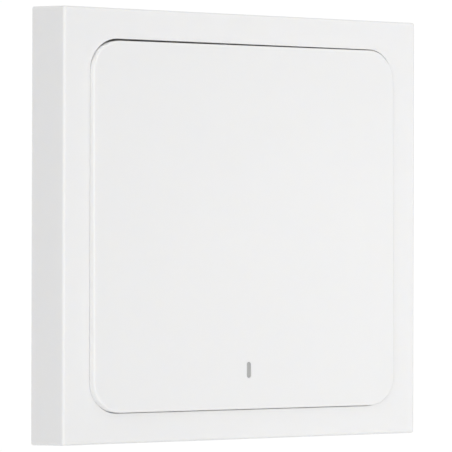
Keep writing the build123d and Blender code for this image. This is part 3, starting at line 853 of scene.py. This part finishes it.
spring_bm = bmesh.new()
strip = ribbon(eased(SPRING_LINE, rounds=3), SPRING_THICK)
for side in (-1, 1):
    start, stop = sorted((side * (SPRING_X - SPRING_HALF), side * (SPRING_X + SPRING_HALF)))
    prism(spring_bm, strip, start, stop, soft=0.04)
print("spring outline", len(strip), "points")

# %% [markdown]
# The snap disc is a shallow dome of thin steel, standing on its rim. Its section is a short list
# of radius and height, spun round the button's middle by the same ring loft as before.

# %% Spin the snap disc
DISC_STEPS = 40
DISC_TOP = [(0.3, 8.46), (1.1, 8.43), (1.6, 8.32), (2.0, 8.22), (2.1, 8.22)]
DISC_BACK = [(2.1, 8.32), (1.6, 8.47), (1.1, 8.56), (0.3, 8.60)]


def spun_ring(radius, out):
    """A ring round the small button's middle."""
    angles = [2 * math.pi * step / DISC_STEPS for step in range(DISC_STEPS)]
    ring = [(radius * math.cos(a), PUSHER_UP + radius * math.sin(a)) for a in angles]
    return [Vector((across, -out, up)) * MM for across, up in ring]


disc_bm = bmesh.new()
disc_loops = loft(disc_bm, [spun_ring(radius, out) for radius, out in DISC_TOP + DISC_BACK])
disc_bm.faces.new(disc_loops[0])
disc_bm.faces.new(disc_loops[-1])
print("snap disc", len(disc_bm.faces), "faces")

# %% [markdown]
# Metals take a metallic shader whose roughness is streaked: the noise is stretched along one
# axis, as rolling leaves it. Steel comes bright for the cell and the screws and duller for the
# springs, covers and leads are tinned, and the aerial is lacquered copper.

# %% Roll the metals
STREAK_SHADE = 0.82  # brightness of the darkest streaks against the metal's own


def rolled_metal(name, colour, roughness, stretch=(1, 1, 14)):
    """Sheet metal with fine streaks along the way that it was rolled."""
    finish, nodes, join, shader = new_finish(name)
    shader.inputs["Metallic"].default_value = 1.0
    place = add(nodes, "TexCoord")
    turn = add(nodes, "Mapping", Scale=stretch)
    join(place.outputs["Object"], turn.inputs["Vector"])
    streak = add(nodes, "TexNoise", Scale=400.0, Detail=4.0)
    join(turn.outputs["Vector"], streak.inputs["Vector"])
    ramp = two_shades(nodes, [STREAK_SHADE * channel for channel in colour], colour)
    join(streak.outputs["Fac"], ramp.inputs["Fac"])
    join(ramp.outputs["Color"], shader.inputs["Base Color"])
    rub = add(nodes, "MapRange", To_Min=roughness - 0.08, To_Max=roughness + 0.10)
    join(streak.outputs["Fac"], rub.inputs["Value"])
    join(rub.outputs["Result"], shader.inputs["Roughness"])
    return finish


bright_steel = rolled_metal("bright_steel", (0.72, 0.72, 0.70), roughness=0.25)
spring_steel = rolled_metal("spring_steel", (0.66, 0.65, 0.62), roughness=0.32)
tinned = rolled_metal("tinned_cover", (0.78, 0.78, 0.77), roughness=0.30, stretch=(1, 1, 6))
copper = rolled_metal("lacquered_copper", (0.72, 0.42, 0.25), 0.35, stretch=(3, 3, 3))
print("metals", [metal.name for metal in (bright_steel, spring_steel, tinned, copper)])

# %% [markdown]
# A leaf spring gives only a little, and the disc nearly all of its height; here both only ride on
# the switch unit.

# %% Hang the springs on the switch unit
SPRING_FOOT = -0.0060
DISC_FOOT = -0.0082

for name, bm, node, joint, foot, keep in (
    ("leaf_springs", spring_bm, "return_springs", "rocker_press", SPRING_FOOT, 0.9),
    ("snap_disc", disc_bm, "switch_dome", "plunger_travel", DISC_FOOT, 0.16),
):
    sprung = new_piece(name, bm, spring_steel, smooth_deg=35)
    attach(sprung, "switch_unit")
    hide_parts(node)
    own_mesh(sprung)

# %% [markdown]
# The remaining parts keep their CAD solids, because those already have the right shape. Fresh
# from CAD every edge is a razor edge, though, and no real edge is: it always carries a thin
# highlight. Three modifiers soften an edge without touching the mesh: Weld joins the triangles,
# Bevel rounds what is sharper than an angle, and Weighted Normal keeps the broad faces flat.
# The metal parts come first. Stamped sheet has the finest edges, and the drawn cell the widest.


# %% Finish the metal parts
def soften(node, width, paint):
    """Rounds a CAD part's sharp edges by width millimetres and gives it its paint."""
    piece = frame["nodes"][node]
    piece.data.materials.clear()
    piece.data.materials.append(paint)
    weld = piece.modifiers.new("join_facets", "WELD")
    weld.merge_threshold = 2e-6
    bevel = piece.modifiers.new("soft_edges", "BEVEL")
    bevel.width = width * MM
    bevel.segments = 2
    bevel.limit_method = "ANGLE"
    bevel.angle_limit = math.radians(38)
    bevel.use_clamp_overlap = True
    weigh = piece.modifiers.new("keep_flats_flat", "WEIGHTED_NORMAL")
    weigh.weight = 60


METAL_PARTS = (
    ("battery_can", 0.18, bright_steel),
    ("battery_cap", 0.08, bright_steel),
    ("board_screws", 0.12, bright_steel),
    ("contact_negative", 0.03, spring_steel),
    ("contact_positive", 0.03, spring_steel),
    ("switch_cover", 0.04, tinned),
    ("switch_leads", 0.03, tinned),
    ("radio_shield", 0.15, tinned),
    ("crystal", 0.10, tinned),
    ("radio_antenna", 0.01, copper),
)
for part in METAL_PARTS:
    soften(*part)
print("metal parts", len(METAL_PARTS))

# %% [markdown]
# Behind the frame sit the wall plate, the base and its battery door. They come from the same
# white plastic, but nobody sees them once they are up, so their mould is plainer and the finish
# a little glossier.

# %% Finish the wall plate, the base and the door
plate_white = moulded("plate_white", (0.84, 0.84, 0.83), (0.82, 0.82, 0.81), 0.38, grain=0.5)
base_white = moulded("base_white", (0.83, 0.83, 0.82), (0.81, 0.81, 0.80), 0.40, grain=0.4)
door_white = moulded("door_white", (0.80, 0.80, 0.79), (0.78, 0.78, 0.77), 0.4)
soften("wall_plate", 0.18, plate_white)
soften("base_housing", 0.12, base_white)
soften("battery_door", 0.12, door_white)
print("whites", [white.name for white in (plate_white, base_white, door_white)])

# %% [markdown]
# Two foam pads stick the plate to the wall. Foam is soft and matt, and its colour is mottled by
# open cells, which a Voronoi texture draws as small rounded pits.


# %% Cut the foam pads
def foam(name, light, dark):
    """Fine foam: matt and pitted."""
    finish, nodes, join, shader = new_finish(name)
    shader.inputs["Roughness"].default_value = 0.95
    place = add(nodes, "TexCoord")
    cells = add(nodes, "TexVoronoi", Scale=2600.0)
    join(place.outputs["Object"], cells.inputs["Vector"])
    ramp = two_shades(nodes, dark, light, stop=0.45)
    join(cells.outputs["Distance"], ramp.inputs["Fac"])
    join(ramp.outputs["Color"], shader.inputs["Base Color"])
    bump = add(nodes, "Bump", Distance=0.00006)
    join(cells.outputs["Distance"], bump.inputs["Height"])
    join(bump.outputs["Normal"], shader.inputs["Normal"])
    return finish


pad_foam = foam("pad_foam", (0.62, 0.63, 0.64), (0.42, 0.43, 0.45))
soften("adhesive_pads", 0.15, pad_foam)
print("pads", pad_foam.name)

# %% [markdown]
# A board is green lacquer over copper. The tracks show through it as lighter, slightly raised
# lines that run one way in some areas and the other way in others, with small plated holes
# between them. So a square-celled Voronoi texture splits the board into areas, and its random
# colour picks which of two Wave textures draws there, or neither. Two small helpers do the
# sums: one turns a value into yes or no at a threshold, the other is a logical and.

# %% Draw the boards' tracks
TRACK_RUNS = (("X", 0.60, 0.62), ("Y", 0.42, 0.40))  # way, red of areas without, red of areas with
TRACK_EDGE = (0.72, 0.82)  # heights on a wave where its track begins and where it is full


def over(nodes, join, value, low, high):
    """One above high and nothing below low, or the reverse where high is the smaller."""
    step = add(nodes, "MapRange", From_Min=low, From_Max=high)
    join(value, step.inputs["Value"])
    return step.outputs["Result"]


def both(nodes, join, one, other):
    """The product of two values."""
    product = add(nodes, "Math")
    product.operation = "MULTIPLY"
    join(one, product.inputs[0])
    join(other, product.inputs[1])
    return product.outputs["Value"]


def draw_tracks(nodes, join, lay, pick):
    """Straight lines, upright in some areas, level in others and none in the rest."""
    tracks = add(nodes, "Math")
    for run, (way, without, drawn) in enumerate(TRACK_RUNS):
        wave = add(nodes, "TexWave", Scale=330.0)
        wave.bands_direction = way
        join(lay.outputs["Vector"], wave.inputs["Vector"])
        line = over(nodes, join, wave.outputs["Fac"], *TRACK_EDGE)
        here = over(nodes, join, pick.outputs["Red"], without, drawn)
        join(both(nodes, join, line, here), tracks.inputs[run])
    return tracks.outputs["Value"]


print("tracks run along", [way for way, without, drawn in TRACK_RUNS])

# %% [markdown]
# The board's colour is laid on in two coats, each a Mix node: the track's lighter green over
# the mask's green, and the plated holes' metal over both. A second Voronoi, with round cells,
# sets the holes, and the areas' blue keeps them to a few areas.

# %% Lacquer the boards
PLATING = (0.62, 0.60, 0.52)
PLATED_EDGE = (0.10, 0.08)  # distances from a cell's point where its hole ends and where it is full
PLATED_AREAS = (0.70, 0.72)  # blue of areas without holes, blue of areas with them


def coat(nodes, join, factor, colour):
    """A coat of colour that goes on where the factor is one."""
    mix = add(nodes, "Mix")
    mix.data_type = "RGBA"
    mix.inputs["B"].default_value = (*colour, 1)
    join(factor, mix.inputs["Factor"])
    return mix


def laminate(name, mask, track):
    """Board lacquer with tracks that show a shade lighter through it."""
    finish, nodes, join, shader = new_finish(name)
    shader.inputs["Roughness"].default_value = 0.35
    shader.inputs["Coat Weight"].default_value = 0.5
    place = add(nodes, "TexCoord")
    lay = add(nodes, "Mapping", Rotation=(math.radians(90), 0, 0))
    join(place.outputs["Object"], lay.inputs["Vector"])
    areas = add(nodes, "TexVoronoi", Scale=190.0, Randomness=0.8)
    areas.voronoi_dimensions = "2D"
    areas.distance = "CHEBYCHEV"
    join(lay.outputs["Vector"], areas.inputs["Vector"])
    pick = add(nodes, "SeparateColor")
    join(areas.outputs["Color"], pick.inputs["Color"])
    tracks = draw_tracks(nodes, join, lay, pick)
    holes = add(nodes, "TexVoronoi", Scale=260.0)
    holes.voronoi_dimensions = "2D"
    join(lay.outputs["Vector"], holes.inputs["Vector"])
    round_hole = over(nodes, join, holes.outputs["Distance"], *PLATED_EDGE)
    some_areas = over(nodes, join, pick.outputs["Blue"], *PLATED_AREAS)
    drawn = coat(nodes, join, tracks, track)
    drawn.inputs["A"].default_value = (*mask, 1)
    plated = coat(nodes, join, both(nodes, join, round_hole, some_areas), PLATING)
    join(drawn.outputs["Result"], plated.inputs["A"])
    join(plated.outputs["Result"], shader.inputs["Base Color"])
    bump = add(nodes, "Bump", Distance=0.00003)
    join(tracks, bump.inputs["Height"])
    join(bump.outputs["Normal"], shader.inputs["Normal"])
    return finish


board_green = laminate("board_green", (0.02, 0.16, 0.07), (0.05, 0.26, 0.12))
radio_green = laminate("radio_green", (0.015, 0.10, 0.06), (0.04, 0.18, 0.10))
soften("circuit_board", 0.08, board_green)
soften("radio_board", 0.05, radio_green)
print("boards", board_green.name, radio_green.name)

# %% [markdown]
# The rest is small: the button's black body and brown stem, the cell's dark seal, the tan
# ceramic chips, the clear lamp and two rubber stops. Each gets the plastic, the smoked or the
# foam finish from above in its own colours. A last line names any CAD part that was forgotten.

# %% Finish the small parts
ink_black = moulded("switch_black", (0.035, 0.035, 0.037), (0.025, 0.025, 0.027), 0.45)
stem_brown = moulded("plunger_brown", (0.10, 0.06, 0.04), (0.08, 0.05, 0.03), 0.4)
seal_grey = moulded("seal_grey", (0.20, 0.20, 0.21), (0.16, 0.16, 0.17), 0.5)
chip_tan = moulded("chip_tan", (0.42, 0.30, 0.20), (0.35, 0.24, 0.15), 0.5)
lamp_clear = smoked("lamp_clear", (0.80, 0.78, 0.68), (0.72, 0.70, 0.60), 0.2)
stop_rubber = foam("stop_rubber", (0.22, 0.22, 0.22), (0.15, 0.15, 0.15))
soften("switch_body", 0.08, ink_black)
soften("switch_plunger", 0.08, stem_brown)
soften("battery_seal", 0.05, seal_grey)
soften("chip_parts", 0.06, chip_tan)
soften("indicator_led", 0.05, lamp_clear)
soften("stop_pads", 0.12, stop_rubber)
shown = {name: node for name, node in frame["nodes"].items() if not node.hide_render}
print("parts without a finish:", [name for name, node in shown.items() if not node.modifiers])

# %% Print the sizes
low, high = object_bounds()
print("visual mm", [round(1000 * side, 2) for side in high - low])
